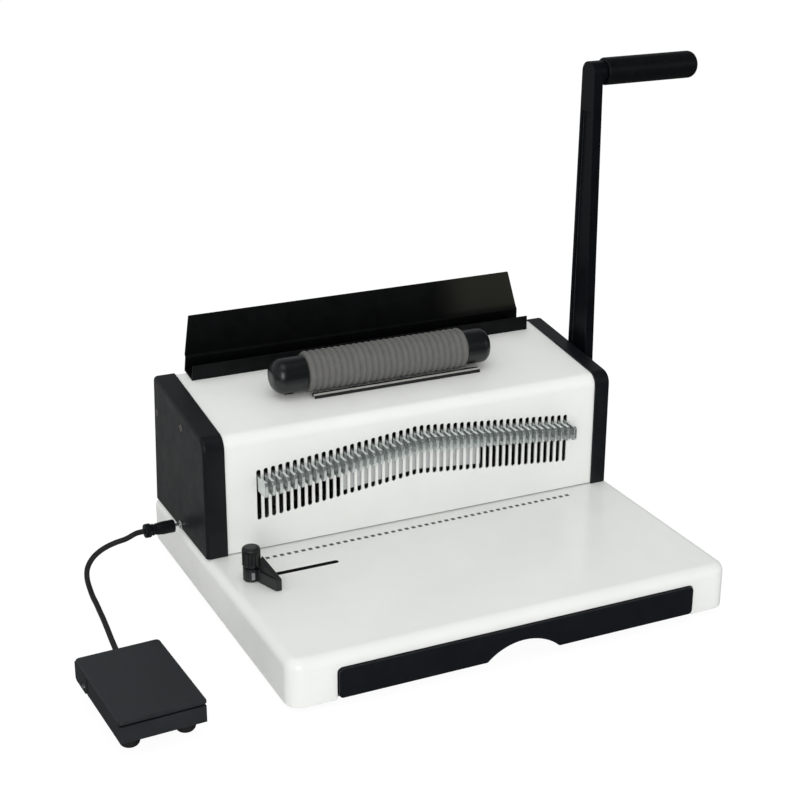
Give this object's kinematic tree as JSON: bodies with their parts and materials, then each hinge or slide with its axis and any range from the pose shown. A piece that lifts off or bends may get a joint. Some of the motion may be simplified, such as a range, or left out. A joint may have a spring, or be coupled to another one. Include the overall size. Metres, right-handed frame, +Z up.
{
  "type": "coil binding machine",
  "caption": "Desktop coil binding machine: lever-driven hole punch with staggered pins, powered coil-winding roller, coil tray, chip drawer, margin guide and foot pedal.",
  "frame": {"origin": "on the floor, under the middle of the machine and pedal's bounding box (lead and plug left out)", "axes": "+X towards the lever's side, +Y to the back, +Z up"},
  "size_m": [0.6189, 0.3284, 0.4097],
  "materials": {
    "white_plastic": "smooth satin moulding",
    "white_sheet": "white powder coat",
    "black_plastic": "fine grained moulding",
    "black_sheet": "black powder coat",
    "zinc_steel": "zinc plated sheet and rod",
    "steel": "ground steel",
    "dark_steel": "blackened steel",
    "plated": "bright plated steel",
    "bronze": "sintered bronze",
    "black_rubber": "matt rubber",
    "grey_rubber": "ribbed soft rubber",
    "board": "circuit board with its parts"
  },
  "bodies": {
    "machine": {"base_cover": "white_plastic", "body_cover": "white_sheet", "rear_panel": "white_sheet", "left_cover": "black_plastic", "right_cover": "black_plastic", "roller_housing_left": "black_plastic", "roller_housing_right": "black_plastic", "power_inlet": "black_plastic", "switch_housing": "black_plastic", "pedal_plug": "black_plastic", "pedal_switch": "black_plastic", "coil_tray": "black_sheet", "pedal_pan": "black_sheet", "base_plate": "zinc_steel", "left_frame": "zinc_steel", "right_frame": "zinc_steel", "top_tie": "zinc_steel", "rear_tie": "zinc_steel", "roller_strip": "zinc_steel", "motor_bracket": "zinc_steel", "drawer_rails": "zinc_steel", "die_block": "steel", "pin_guide": "steel", "guide_posts": "steel", "cover_screws": "steel", "pedal_pin": "steel", "pedal_spring": "steel", "return_spring": "dark_steel", "roller_motor": "dark_steel", "jack_socket": "plated", "shaft_bushes": "bronze", "roller_bushes": "bronze", "rubber_feet": "black_rubber", "drive_belt": "black_rubber", "pedal_feet": "black_rubber", "pedal_gland": "black_rubber", "pedal_cord": "black_rubber", "power_board": "board"},
    "lever": {"punch_shaft": "steel", "pinions": "steel", "lever_arm": "black_sheet", "lever_grip": "black_plastic", "grip_rod": "steel", "hub_bolt": "zinc_steel"},
    "punch": {"punch_beam": "dark_steel", "beam_plate": "zinc_steel", "racks": "steel", "punch_pins": "dark_steel", "pull_tabs": "plated"},
    "roller": {"roller_sleeve": "grey_rubber", "roller_shaft": "steel", "roller_pulley": "dark_steel"},
    "motor_pulley": {"motor_pulley": "dark_steel"},
    "drawer": {"drawer_box": "black_plastic", "drawer_front": "black_plastic"},
    "margin_guide": {"margin_guide": "black_plastic", "guide_clamp": "zinc_steel"},
    "guide_knob": {"guide_knob": "black_plastic"},
    "rocker": {"rocker_button": "black_plastic"},
    "treadle": {"pedal_treadle": "black_sheet"}
  },
  "joints": [
    {"name": "lever_hinge", "type": "hinge", "parent": "machine", "child": "lever", "pos_m": [0.0135, 0.084, 0.078], "axis": [1, 0, 0], "range_deg": [0, 75], "stiffness_Nm_per_rad": 0.8, "springref_deg": -85.94},
    {"name": "punch_slide", "type": "slide", "parent": "machine", "child": "punch", "axis": [0, 0, -1], "range_m": [0, 0.0197]},
    {"name": "roller_spin", "type": "hinge", "parent": "machine", "child": "roller", "pos_m": [0.0135, 0.077, 0.16958], "axis": [1, 0, 0], "continuous": true},
    {"name": "motor_spin", "type": "hinge", "parent": "machine", "child": "motor_pulley", "pos_m": [-0.079, 0.111, 0.115], "axis": [1, 0, 0], "continuous": true},
    {"name": "drawer_slide", "type": "slide", "parent": "machine", "child": "drawer", "axis": [0, -1, 0], "range_m": [0, 0.13]},
    {"name": "guide_slide", "type": "slide", "parent": "machine", "child": "margin_guide", "axis": [1, 0, 0], "range_m": [0, 0.072]},
    {"name": "knob_turn", "type": "hinge", "parent": "margin_guide", "child": "guide_knob", "pos_m": [-0.1545, -0.0245, 0.053], "axis": [0, 0, 1], "range_deg": [0, 180]},
    {"name": "rocker_tilt", "type": "hinge", "parent": "machine", "child": "rocker", "pos_m": [0.0955, 0.14999, 0.069], "axis": [1, 0, 0], "range_deg": [-16, 0]},
    {"name": "treadle_hinge", "type": "hinge", "parent": "machine", "child": "treadle", "pos_m": [-0.27531, -0.08153, 0.0155], "axis": [0.999, 0.0436, 0], "range_deg": [0, 1.3], "stiffness_Nm_per_rad": 0.9, "springref_deg": -17.19}
  ],
  "couplings": [
    {"joint": "punch_slide", "follows": "lever_hinge", "m_per_rad": 0.015},
    {"joint": "motor_spin", "follows": "roller_spin", "ratio": 1}
  ]
}
